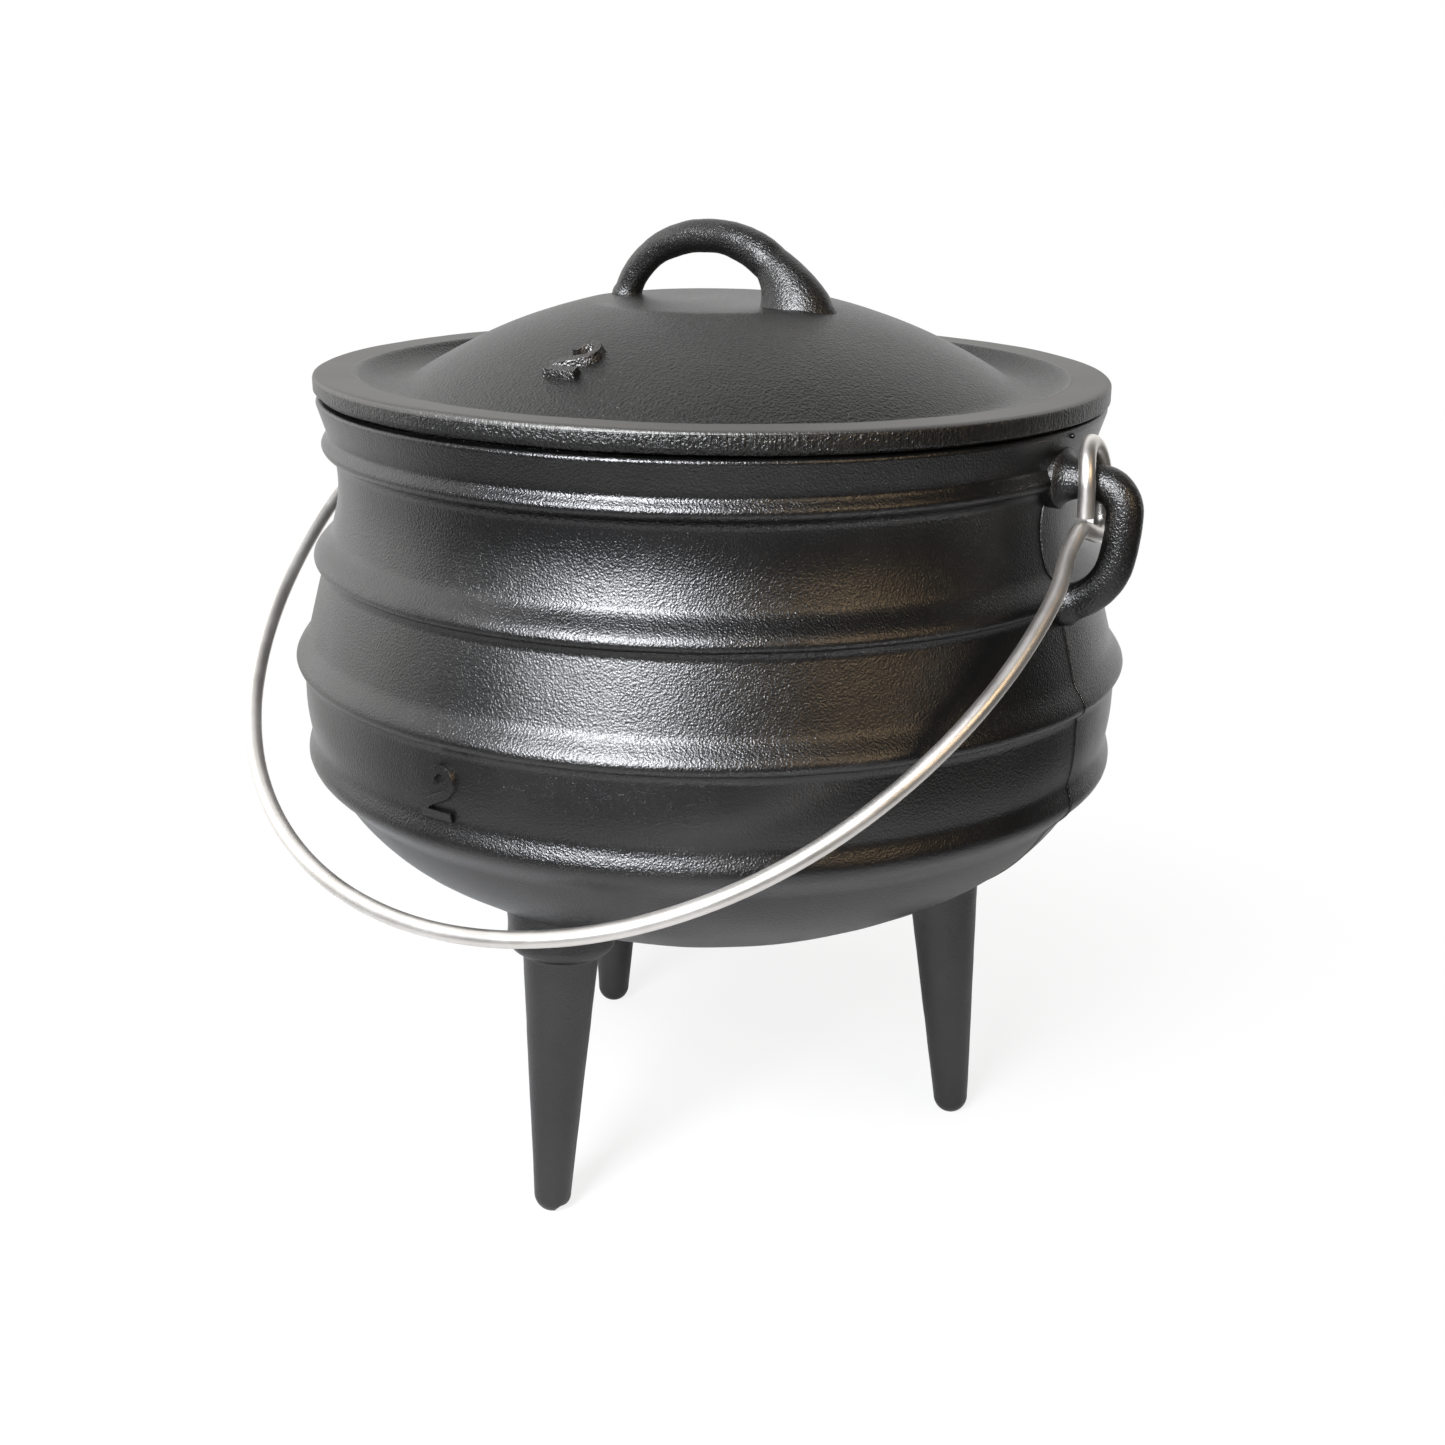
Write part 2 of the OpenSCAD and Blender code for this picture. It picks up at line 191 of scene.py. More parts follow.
# Base colours of the iron and the wire, from dark patches to light ones, and of the ring's ground face
IRON_TONES = ((0.078, 0.077, 0.078), (0.100, 0.098, 0.096))
LID_TONES = ((0.076, 0.076, 0.075), (0.098, 0.096, 0.093))
# The handles' and ears' iron is a little darker than the body's: painted shade that dims the lid handle
# where it faces the window lamp
HANDLE_SHADED_TONES = ((0.073, 0.072, 0.071), (0.096, 0.094, 0.092))
FIGURE_TONES = ((0.110, 0.108, 0.106), (0.150, 0.146, 0.142))
RING_TONE = (0.16, 0.156, 0.15)
WIRE_TONES = ((0.84, 0.80, 0.75), (0.94, 0.91, 0.87))

# Heading of the dim side of the room, and the plain level of the light from all round
ROOM_AZIMUTH = 52.0
ROOM_LEVEL = 0.45

# Where the white backdrop ends in reflections: the share of the way to the dim side, and its grey there
BACKDROP_STOPS = ((0.28, 1.0), (0.46, 0.05))


# Outlines and paths

def arc(centre, radius, start, end, steps):
    """Points of an arc about a centre, with the angles in degrees."""
    angles = np.radians(np.linspace(start, end, steps + 1))
    return [(centre[0] + radius * math.cos(a), centre[1] + radius * math.sin(a)) for a in angles]


def smooth(edge0, edge1, x):
    """A smooth step from 0 at edge0 to 1 at edge1, which may be the smaller."""
    t = min(max((x - edge0) / (edge1 - edge0), 0.0), 1.0)
    return t * t * (3 - 2 * t)


class Wall:
    """The pot's plain wall, whose outline is the same at any depth in it."""

    dish_z = GROUND_CLEARANCE + DISH_RADIUS
    turn_x = BELLY_RADIUS - TURN_RADIUS
    turn_z = dish_z - math.sqrt((DISH_RADIUS - TURN_RADIUS) ** 2 - turn_x ** 2)
    turn_start = math.degrees(math.asin(turn_x / (DISH_RADIUS - TURN_RADIUS)))
    neck_x = NECK_RADIUS + NECK_CURVE
    run = (neck_x - BELLY_RADIUS, NECK_Z - SHOULDER_Z)
    lean = math.asin(NECK_CURVE / math.hypot(*run)) - math.atan2(run[0], run[1])

    @classmethod
    def radius(cls, z, d=0.0):
        """Radius of the wall's surface at height z and depth d."""
        lean_z = SHOULDER_Z - d * math.tan(cls.lean / 2)
        neck_low = NECK_Z - (NECK_CURVE + d) * math.sin(cls.lean)
        neck_high = NECK_Z + (NECK_CURVE + d) * math.sin(math.radians(LIP_LEAN))
        if z < cls.dish_z - (DISH_RADIUS - d) * math.cos(math.radians(cls.turn_start)):
            return math.sqrt(max((DISH_RADIUS - d) ** 2 - (cls.dish_z - z) ** 2, 0.0))
        if z < cls.turn_z:
            return cls.turn_x + math.sqrt((TURN_RADIUS - d) ** 2 - (cls.turn_z - z) ** 2)
        if z < lean_z:
            return BELLY_RADIUS - d
        if z < neck_low:
            return BELLY_RADIUS - d - (z - lean_z) * math.tan(cls.lean)
        if z < neck_high:
            return cls.neck_x - math.sqrt((NECK_CURVE + d) ** 2 - (z - NECK_Z) ** 2)
        lean = math.radians(LIP_LEAN)
        return cls.neck_x - (NECK_CURVE + d) * math.cos(lean) + (z - neck_high) * math.tan(lean)

    @classmethod
    def underside(cls, r, d=0.0):
        """Height of the bowl's surface at radius r, below the belly, at depth d."""
        turn = (TURN_RADIUS - d) ** 2 - (r - cls.turn_x) ** 2
        dish = cls.dish_z - math.sqrt((DISH_RADIUS - d) ** 2 - r ** 2)
        joint = (DISH_RADIUS - d) * math.sin(math.radians(cls.turn_start))
        return dish if r < joint else cls.turn_z - math.sqrt(turn)


def rib_out(z):
    """How far the ribs stand out of the wall at height z."""
    out = 0.0
    for height, above, below, crest, soft in RIBS:
        t = z - crest
        if t > 0:
            out += height * (1 + math.cos(math.pi * min(t / above, 1))) / 2
        elif soft:
            out += height * (1 + math.cos(math.pi * min(-t / below, 1))) / 2
        else:
            out += height * math.sqrt(1 - min(-t / below, 1) ** 2)
    return out


def outer_radius(z):
    return Wall.radius(z) + rib_out(z)


def pot_outline():
    """Outline of the bowl's casting, from the middle of its underside over the lip to the hollow's."""
    dish = arc((0, Wall.dish_z), DISH_RADIUS, -90, Wall.turn_start - 90, 14)
    stations = list(np.linspace(dish[-1][1], SHOULDER_Z - 41, 9)[1:])
    for i, (height, above, below, crest, soft) in enumerate(RIBS):
        under = 14 if soft else 9
        stations += [crest - below * math.cos(a) for a in np.linspace(0, math.pi / 2, under)]
        stations += list(np.linspace(crest, crest + above, 11)[1:])
        if i < len(RIBS) - 1:
            next_start = RIBS[i + 1][3] - RIBS[i + 1][2]
            stations += list(np.linspace(crest + above, next_start, 9)[1:-1])
    lip_z = LIP_Z - LIP_ROUND
    lip_out = (Wall.radius(lip_z, LIP_ROUND), lip_z)
    lip_in = (Wall.radius(lip_z, WALL - LIP_ROUND), lip_z)
    stations += list(np.linspace(RIBS[-1][3] + RIBS[-1][1], lip_z - 0.5, 5)[1:])
    neck_end = 180 + math.degrees(Wall.lean)
    neck_in = arc((Wall.neck_x, NECK_Z), NECK_CURVE + WALL, 180 - LIP_LEAN, neck_end, 8)
    turn_in = arc((Wall.turn_x, Wall.turn_z), TURN_RADIUS - WALL, 0, Wall.turn_start - 90, 10)
    dish_in = arc((0, Wall.dish_z), DISH_RADIUS - WALL, Wall.turn_start - 90, -90, 8)
    return (
        dish + [(outer_radius(z), z) for z in stations]
        + arc(lip_out, LIP_ROUND, -LIP_LEAN, 90, 6) + arc(lip_in, LIP_ROUND, 90, 180 - LIP_LEAN, 6)
        + neck_in + [(BELLY_RADIUS - WALL, SHOULDER_Z)] + turn_in + dish_in[1:]
    )


def lathe(outline, steps):
    """Points and faces of a solid of revolution whose outline starts and ends on the axis."""
    rings = [p for p in outline if p[0] > 1e-6]
    turns = np.arange(steps) * 2 * math.pi / steps
    points = [(r * math.cos(a), r * math.sin(a), z) for r, z in rings for a in turns]
    faces = []
    for i in range(len(rings) - 1):
        for j in range(steps):
            k = (j + 1) % steps
            faces.append((i * steps + j, i * steps + k, (i + 1) * steps + k, (i + 1) * steps + j))
    first, last = len(points), len(points) + 1
    points += [(0, 0, outline[0][1]), (0, 0, outline[-1][1])]
    end = (len(rings) - 1) * steps
    for j in range(steps):
        k = (j + 1) % steps
        faces.append((first, k, j))
        faces.append((last, end + j, end + k))
    return points, faces


def sweep(path, section, up=(0, 1, 0)):
    """Points and faces of a bar along a path of 3-D points.

    section(i, t) gives the outline of point i, at the share t of the way along, as (sideways, upwards)
    pairs. Upwards is the direction nearest to up that is square to the path.
    """
    path = [Vector(p) for p in path]
    lengths = np.cumsum([0] + [(b - a).length for a, b in zip(path, path[1:])])
    points, faces = [], []
    for i, p in enumerate(path):
        before = path[max(i - 1, 0)]
        after = path[min(i + 1, len(path) - 1)]
        along = (after - before).normalized()
        here_up = Vector(up(i) if callable(up) else up)
        upward = (here_up - along * here_up.dot(along)).normalized()
        side = along.cross(upward)
        for s, u in section(i, lengths[i] / lengths[-1]):
            points.append(tuple(p + side * s + upward * u))
    n = len(points) // len(path)
    for i in range(len(path) - 1):
        for j in range(n):
            k = (j + 1) % n
            faces.append((i * n + j, i * n + k, (i + 1) * n + k, (i + 1) * n + j))
    faces.append(tuple(reversed(range(n))))
    faces.append(tuple(range((len(path) - 1) * n, len(path) * n)))
    return points, faces


def ellipse(a, b, sides):
    """Outline of an ellipse with half axes a and b."""
    turns = [2 * math.pi * i / sides for i in range(sides)]
    return [(-a * math.cos(t), b * math.sin(t)) for t in turns]


# Meshes, their unevenness and the pieces made of them

def make_piece(name, shape, body, material, warp=None, angle=None):
    """A smooth-shaded object from points in millimetres and faces, riding on a body."""
    points, faces = shape
    if warp:
        points = [warp(p) for p in points]
    mesh = bpy.data.meshes.new(name)
    mesh.from_pydata([(x * MM, y * MM, z * MM) for x, y, z in points], [], faces)
    mesh.validate()
    mesh.update()
    piece = bpy.data.objects.new(name, mesh)
    bpy.context.scene.collection.objects.link(piece)
    mesh.shade_smooth()
    if angle:
        mesh.set_sharp_from_angle(angle=math.radians(angle))
    mesh.materials.append(material)
    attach(piece, body)
    return piece


def roughen(piece, *waves):
    """Sinks the surface by smooth noise. Each wave is (depth in mm, wavelength in mm)."""
    mesh = piece.data
    count = len(mesh.vertices)
    normals = np.empty(count * 3)
    mesh.vertices.foreach_get("normal", normals)
    places = np.empty(count * 3)
    mesh.vertices.foreach_get("co", places)
    places = places.reshape(-1, 3)
    sink = np.zeros(count)
    for depth, wavelength in waves:
        scaled = places / (wavelength * MM)
        values = np.array([noise.noise(p) for p in scaled.tolist()])
        sink += depth * MM * np.clip(0.5 - 0.5 * values / 0.6, 0, 1)
    places -= normals.reshape(-1, 3) * sink[:, None]
    mesh.vertices.foreach_set("co", places.ravel())
    mesh.update()


# Materials

def new_material(name):
    material = bpy.data.materials.new(name)
    material.use_nodes = True
    nodes = material.node_tree.nodes
    return material, nodes, material.node_tree.links, nodes["Principled BSDF"]


def noise_node(nodes, links, coords, scale, detail=2.0, roughness=0.5, distortion=0.0):
    """The height of a Noise Texture; scale is in waves a metre."""
    node = nodes.new("ShaderNodeTexNoise")
    node.inputs["Scale"].default_value = scale
    node.inputs["Detail"].default_value = detail
    node.inputs["Roughness"].default_value = roughness
    node.inputs["Distortion"].default_value = distortion
    links.new(coords, node.inputs["Vector"])
    return node.outputs["Fac"]


def ramp(nodes, links, value, low, high, colour_low, colour_high):
    """The colour of a ramp between two colours, as value goes from low to high."""
    node = nodes.new("ShaderNodeValToRGB")
    node.color_ramp.elements[0].position = low
    node.color_ramp.elements[1].position = high
    node.color_ramp.elements[0].color = (*colour_low, 1)
    node.color_ramp.elements[1].color = (*colour_high, 1)
    links.new(value, node.inputs["Fac"])
    return node.outputs["Color"]


def spread(nodes, links, value, low, high, out_low, out_high):
    """The value, spread from low to high over another range."""
    node = nodes.new("ShaderNodeMapRange")
    node.inputs["From Min"].default_value = low
    node.inputs["From Max"].default_value = high
    node.inputs["To Min"].default_value = out_low
    node.inputs["To Max"].default_value = out_high
    links.new(value, node.inputs["Value"])
    return node.outputs["Result"]


def bump(nodes, links, height, distance, strength, below=None):
    """The normal of a Bump node, laid over the normal below it."""
    node = nodes.new("ShaderNodeBump")
    node.inputs["Strength"].default_value = strength
    node.inputs["Distance"].default_value = distance
    links.new(height, node.inputs["Height"])
    if below:
        links.new(below, node.inputs["Normal"])
    return node.outputs["Normal"]


def math_node(nodes, links, operation, first, second):
    """The result of a Math node; each input is a socket or a number."""
    node = nodes.new("ShaderNodeMath")
    node.operation = operation
    for n, value in enumerate((first, second)):
        if isinstance(value, (int, float)):
            node.inputs[n].default_value = value
        else:
            links.new(value, node.inputs[n])
    return node.outputs["Value"]


def vector_node(nodes, links, operation, vector, other=None):
    """The result of a Vector Math node on a vector and, for some operations, a constant one."""
    node = nodes.new("ShaderNodeVectorMath")
    node.operation = operation
    links.new(vector, node.inputs[0])
    if other:
        node.inputs[1].default_value = other
    return node.outputs["Value" if operation in ("LENGTH", "DOT_PRODUCT") else "Vector"]


def colour_mix(nodes, links, factor, first, second):
    """A mix of a colour socket and a plain colour."""
    node = nodes.new("ShaderNodeMix")
    node.data_type = "RGBA"
    links.new(factor, node.inputs["Factor"])
    links.new(first, node.inputs["A"])
    node.inputs["B"].default_value = (*second, 1)
    return node.outputs["Result"]


def rim_masks(nodes, links, coords):
    """Masks of the lid's flat ring and of its outer edge, from the place on the lid."""
    reach = vector_node(nodes, links, "LENGTH", vector_node(nodes, links, "MULTIPLY", coords, (1, 1, 0)))
    height = nodes.new("ShaderNodeSeparateXYZ")
    links.new(coords, height.inputs["Vector"])
    ring_in = (LID_RADIUS - RING_WIDTH) * MM
    outside = spread(nodes, links, reach, ring_in - 0.0004, ring_in + 0.0004, 0, 1)
    low, high = (RING_Z - 0.7) * MM, (RING_Z - 0.35) * MM
    on_top = spread(nodes, links, height.outputs["Z"], low, high, 0, 1)
    on_ring = math_node(nodes, links, "MULTIPLY", outside, on_top)
    on_edge = spread(nodes, links, reach, (LID_RADIUS - 1.0) * MM, (LID_RADIUS - 0.6) * MM, 0, 1)
    return on_ring, on_edge


def iron_material(name, grain_mm=1.0, grain_depth=1.0, shine=0.0, tones=IRON_TONES, rim=False):
    """Satin black cast iron with a leathery grain; shine lowers its roughness.

    With rim, the lid's flat ring is ground smooth and its edge has fine upright tool marks.
    """
    material, nodes, links, shader = new_material(name)
    coords = nodes.new("ShaderNodeTexCoord").outputs["Object"]
    grain = noise_node(nodes, links, coords, GRAIN_SCALE / grain_mm, 2.0, 0.55, 0.3)
    texture = nodes.new("ShaderNodeTexVoronoi")
    texture.feature = "SMOOTH_F1"
    texture.inputs["Scale"].default_value = 0.8 * GRAIN_SCALE / grain_mm
    texture.inputs["Smoothness"].default_value = 0.8
    links.new(coords, texture.inputs["Vector"])
    cells = texture.outputs["Distance"]
    swell = noise_node(nodes, links, coords, 130, 2.0, 0.5)
    patches = noise_node(nodes, links, coords, 22, 3.0, 0.55)
    tone = ramp(nodes, links, patches, 0.3, 0.72, *tones)
    rough = spread(nodes, links, patches, 0.3, 0.7, 0.29 - shine, 0.35 - shine)
    normal = bump(nodes, links, swell, SWELL_HEIGHT, 0.12)
    if rim:
        on_ring, on_edge = rim_masks(nodes, links, coords)
        ground = math_node(nodes, links, "MULTIPLY", on_ring, 0.85)
        ground = math_node(nodes, links, "SUBTRACT", 1.0, ground)
        grain = math_node(nodes, links, "MULTIPLY", grain, ground)
        cells = math_node(nodes, links, "MULTIPLY", cells, ground)
        upright = vector_node(nodes, links, "MULTIPLY", coords, (1, 1, 0.08))
        marks = noise_node(nodes, links, upright, 1100, 2.0, 0.6)
        marks = math_node(nodes, links, "MULTIPLY", marks, on_edge)
        normal = bump(nodes, links, marks, 0.0004, 0.8, normal)
        tone = colour_mix(nodes, links, on_ring, tone, RING_TONE)
        dull = math_node(nodes, links, "MULTIPLY", on_ring, 0.16)
        rough = math_node(nodes, links, "ADD", rough, dull)
    normal = bump(nodes, links, cells, CELL_HEIGHT * grain_mm, 0.9 * grain_depth, normal)
    normal = bump(nodes, links, grain, GRAIN_HEIGHT * grain_mm, 0.85 * grain_depth, normal)
    links.new(normal, shader.inputs["Normal"])
    links.new(tone, shader.inputs["Base Color"])
    links.new(rough, shader.inputs["Roughness"])
    shader.inputs["Metallic"].default_value = 1.0
    return material


def wire_material():
    """Satin drawn stainless wire."""
    material, nodes, links, shader = new_material("steel_wire")
    coords = nodes.new("ShaderNodeTexCoord").outputs["Object"]
    fine = noise_node(nodes, links, coords, 900, 3.0, 0.6)
    patches = noise_node(nodes, links, coords, 60, 3.0, 0.6)
    normal = bump(nodes, links, fine, 0.00008, 0.35)
    normal = bump(nodes, links, patches, 0.0004, 0.25, normal)
    links.new(normal, shader.inputs["Normal"])
    links.new(ramp(nodes, links, patches, 0.3, 0.7, *WIRE_TONES), shader.inputs["Base Color"])
    links.new(spread(nodes, links, patches, 0.3, 0.7, 0.36, 0.48), shader.inputs["Roughness"])
    shader.inputs["Metallic"].default_value = 1.0
    return material


# The pot's casting

def bowl(iron):
    piece = make_piece("pot_bowl", lathe(pot_outline(), 440), "pot", iron)
    roughen(piece, (0.16, 18), (0.025, 5))
    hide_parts("pot")


def chip_height(place):
    """Height of the break in the front foot, on its right as the photo shows it."""
    heading = math.radians(CAMERA_AZIMUTH)
    across = place.x * math.cos(heading) + (place.y + LEG_RADIUS) * math.sin(heading)
    if across < CHIP_START:
        return 0.0
    return CHIP_LOW + (CHIP_HEIGHT - CHIP_LOW) * min((across - CHIP_START) / CHIP_RUN, 1.0)


def leg(index, angle, iron):
    """A tapered leg with its round collar, which ends inside the bowl's wall."""
    tip_r, root_r, collar_r = LEG_TIP_D / 2, LEG_ROOT_D / 2, COLLAR_D / 2
    root_z = Wall.underside(LEG_RADIUS) - COLLAR_DROP
    top_z = root_z + COLLAR_ROUND + COLLAR_STRAIGHT
    outline = arc((0, tip_r), tip_r, -90, 0, 24)
    outline += [
        (tip_r + (root_r - tip_r) * t, tip_r + (root_z - ROOT_FILLET - tip_r) * t)
        for t in np.linspace(0.02, 1, 26)
    ]
    outline += arc((root_r + ROOT_FILLET, root_z - ROOT_FILLET), ROOT_FILLET, 180, 90, 5)[1:]
    outline += arc((collar_r - COLLAR_ROUND, root_z + COLLAR_ROUND), COLLAR_ROUND, -72, 0, 8)
    outline += [(collar_r, root_z + COLLAR_ROUND + 1.5), (collar_r, top_z)]
    outline += [(collar_r, top_z)] * 7 + [(0, top_z)]
    steps = 72
    upright, faces = lathe(outline, steps)
    blend_from = len(upright) // steps - 8
    slope = math.radians(LEG_SPLAY)
    lean = Matrix.Rotation(-slope, 3, "Y")
    turn = Matrix.Rotation(math.radians(angle), 3, "Z")
    base = Vector((LEG_RADIUS, 0, -FOOT_FLAT))
    points = []
    for n, p in enumerate(upright):
        place = base + lean @ Vector(p)
        ring = n // steps
        if ring > blend_from:
            # The top of the collar flares a little and follows the bowl into the wall
            share = min((ring - blend_from) / 6, 1.0)
            flare = 0.11 * share ** 3
            place.x += (place.x - base.x - top_z * math.tan(slope)) * flare
            place.y += place.y * flare
            top = Wall.underside(min(math.hypot(place.x, place.y), BELLY_RADIUS - 1), 1.6)
            place.z += (top - place.z) * share
        place.z = max(place.z, 0.0)
        place = turn @ place
        if index == 1:
            place.z = max(place.z, chip_height(place))
        points.append(tuple(place))
    piece = make_piece(f"leg_{index}", (points, faces), "pot", iron)
    roughen(piece, (0.15, 9), (0.05, 4))


def ear_path():
    """Centre line of an ear from the neck's wall out and back to it, as (x, z) points."""
    corner = (BAR_END, BAR_Z - EAR_CORNER)
    side = (corner[0] - EAR_SIDE + EAR_CORNER, corner[1])
    turn = math.radians(EAR_SIDE_TURN)
    back = (
        side[0] + (EAR_SIDE - EAR_RETURN) * math.cos(turn),
        side[1] - (EAR_SIDE - EAR_RETURN) * math.sin(turn),
    )
    start = Wall.radius(BAR_Z, WALL * 0.6)
    path = [(x, BAR_Z) for x in np.linspace(start, BAR_END, 36)]
    path += arc(corner, EAR_CORNER, 90, 0, 14)[1:]
    path += arc(side, EAR_SIDE, 0, -EAR_SIDE_TURN, 8)[1:]
    path += arc(back, EAR_RETURN, -EAR_SIDE_TURN, -90, 22)[1:]
    end = path[-1]
    inner = Wall.radius(end[1], WALL * 0.5)
    path += [(x, end[1]) for x in np.linspace(end[0], inner, 4)[1:] if x < end[0]]
    return path


def ear(name, side, iron):
    """A round bar along the ear's path, which swells where it runs into the wall."""
    path = ear_path()

    def section(i, t):
        x, z = path[i]
        swell, reach = EAR_ROOTS[0] if i < len(path) / 2 else EAR_ROOTS[1]
        share = min(max(1 - (x - outer_radius(z)) / reach, 0.0), 1.0)
        radius = EAR_D / 2 + swell * (1 - math.sqrt(1 - share * share))
        return ellipse(radius, radius, 48)

    shape = sweep([(side * x, 0, z) for x, z in path], section)
    piece = make_piece(name, shape, "pot", iron)
    roughen(piece, (0.16, 7), (0.08, 2.6))


# The lid

def lid_outline():
    """Outline of the lid, from the crown's middle over the rim and back under the dome."""
    ring_inner = LID_RADIUS - RING_WIDTH
    dome_z = DOME_CENTRE_Z
    edge = (ring_inner, RING_Z - RING_EDGE_ROUND)
    gutter_z = RING_Z - GUTTER_DEPTH
    centre_z = gutter_z + GUTTER_CURVE
    gutter_in = (math.sqrt((LID_DOME + GUTTER_CURVE) ** 2 - (centre_z - dome_z) ** 2), centre_z)
    reach = GUTTER_CURVE + RING_EDGE_ROUND
    lift = centre_z - edge[1]
    gutter_out = (edge[0] - math.sqrt(reach ** 2 - lift ** 2), centre_z)
    edge_angle = math.degrees(math.asin(lift / reach))
    dome_end = math.degrees(math.atan2(gutter_in[1] - dome_z, gutter_in[0]))
    dome_start = math.degrees(math.atan2(CROWN_Z - dome_z, CROWN_RADIUS))
    under_z = gutter_z - LID_WALL
    under_dome = LID_DOME - LID_WALL
    under_end = math.degrees(math.asin((under_z - dome_z) / under_dome))
    under_crown = math.sqrt(under_dome ** 2 - (CROWN_Z - LID_WALL - dome_z) ** 2)
    under_edge = 0.6
    crown = [(r, CROWN_Z) for r in np.linspace(0, CROWN_RADIUS - 1.4, 12)]
    # The crown's edge is softened by a short curve onto the dome
    crown += [(CROWN_RADIUS - 0.5, CROWN_Z - 0.03)]
    return (
        crown
        + arc((0, dome_z), LID_DOME, dome_start - 0.35, dome_end, 30)
        + arc(gutter_in, GUTTER_CURVE, dome_end - 180, -90, 8)[1:]
        + arc(gutter_out, GUTTER_CURVE, -90, -edge_angle, 10)
        + arc(edge, RING_EDGE_ROUND, 180 - edge_angle, 90, 8)
        + [(x, RING_Z) for x in np.linspace(ring_inner, LID_RADIUS - EDGE_ROUND, 6)[1:-1]]
        + arc((LID_RADIUS - EDGE_ROUND, RING_Z - EDGE_ROUND), EDGE_ROUND, 90, 0, 7)
        + [(LID_RADIUS, RING_Z - EDGE_ROUND - 1.2)]
        + arc((LID_RADIUS - under_edge, LIP_Z + EDGE_RELIEF + under_edge), under_edge, 0, -90, 4)
        + [(SEAT_OUTER + EDGE_RELIEF - 0.6, LIP_Z + EDGE_RELIEF), (SEAT_OUTER, LIP_Z)]
        + [(LOCATOR_LOW, LIP_Z), (LOCATOR_LOW, LOCATOR_Z + 1), (LOCATOR_LOW - 1, LOCATOR_Z)]
        + [(LOCATOR_LOW - LOCATOR_WIDTH, LOCATOR_Z), (LOCATOR_LOW - LOCATOR_WIDTH, under_z)]
        + arc((0, dome_z), under_dome, under_end, dome_start + 2, 16)
        + [(under_crown, CROWN_Z - LID_WALL), (0, CROWN_Z - LID_WALL)]
    )


def dome_height(r):
    """Height of the lid's dome at radius r."""
    return DOME_CENTRE_Z + math.sqrt(LID_DOME ** 2 - r ** 2)


def warp_rim(point):
    """The rim stands off the lip a little in front, and hangs lower on its outside to the right."""
    x, y, z = point
    r = math.hypot(x, y)
    if r < 90 or z < LIP_Z - 1:
        return point
    heading = math.atan2(x, -y)
    z += RIM_LIFT * smooth(90, 116, r) * max(math.cos(heading), 0) ** 2
    if r > SEAT_OUTER + 0.1 and z < RING_Z - 3:
        z -= RIM_DROP * max(math.cos(heading - math.radians(DROP_AZIMUTH)), 0)
    return (x, y, z)


def lid(iron):
    points, faces = lathe(lid_outline(), 400)
    # The lathe is made for outlines that run up; this one runs down, so its faces are turned over
    faces = [tuple(reversed(face)) for face in faces]
    piece = make_piece("lid_disc", (points, faces), "pot", iron, warp=warp_rim, angle=40)
    roughen(piece, (0.16, 20), (0.025, 5))
    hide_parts("lid")


def lid_handle(iron):
    """The cast arch: two half ellipses that meet at the top, thin at the -X foot, broad at the +X foot."""
    path = []
    for t in np.linspace(0, 1, 90):
        turn = 178 - 176 * t if t < 0.5 else 90 - 162 * (t - 0.5)
        reach = HANDLE_LEFT if t < 0.5 else HANDLE_RIGHT
        x = HANDLE_TOP_X + reach * math.cos(math.radians(turn))
        z = HANDLE_LOW_Z + (HANDLE_TOP_Z - HANDLE_LOW_Z) * math.sin(math.radians(turn))
        if z > FOOT_Z + 1:
            path.append((x, z))
    # The broad foot ends upright, so that its whole edge is sunk in the crown
    foot_x = HANDLE_TOP_X + HANDLE_RIGHT
    path += [(foot_x, FOOT_Z + 0.6), (foot_x, FOOT_Z)]

    def section(i, t):
        z = path[i][1]
        bar = 4.4 + 0.7 * smooth(0.15, 0.45, t) + 0.8 * smooth(0.5, 0.75, t)
        if t < 0.5:
            ring = 0.6 * smooth(1.8, 0.2, z - CROWN_Z)
            return ellipse(bar + ring, bar + ring, 40)
        flare = max((FLARE_TOP_Z - z) / (FLARE_TOP_Z - FOOT_Z), 0) ** 1.15
        return ellipse(bar + FLARE_ACROSS * flare, bar + FLARE_ALONG * flare, 40)

    def up(i):
        x, z = path[i]
        return (x - HANDLE_TOP_X, 0, z - HANDLE_LOW_Z + 2)

    shape = sweep([(x, 0, z) for x, z in path], section, up=up)
    piece = make_piece("lid_handle", shape, "pot", iron)
    roughen(piece, (0.3, 7), (0.12, 2.2))


# The bail

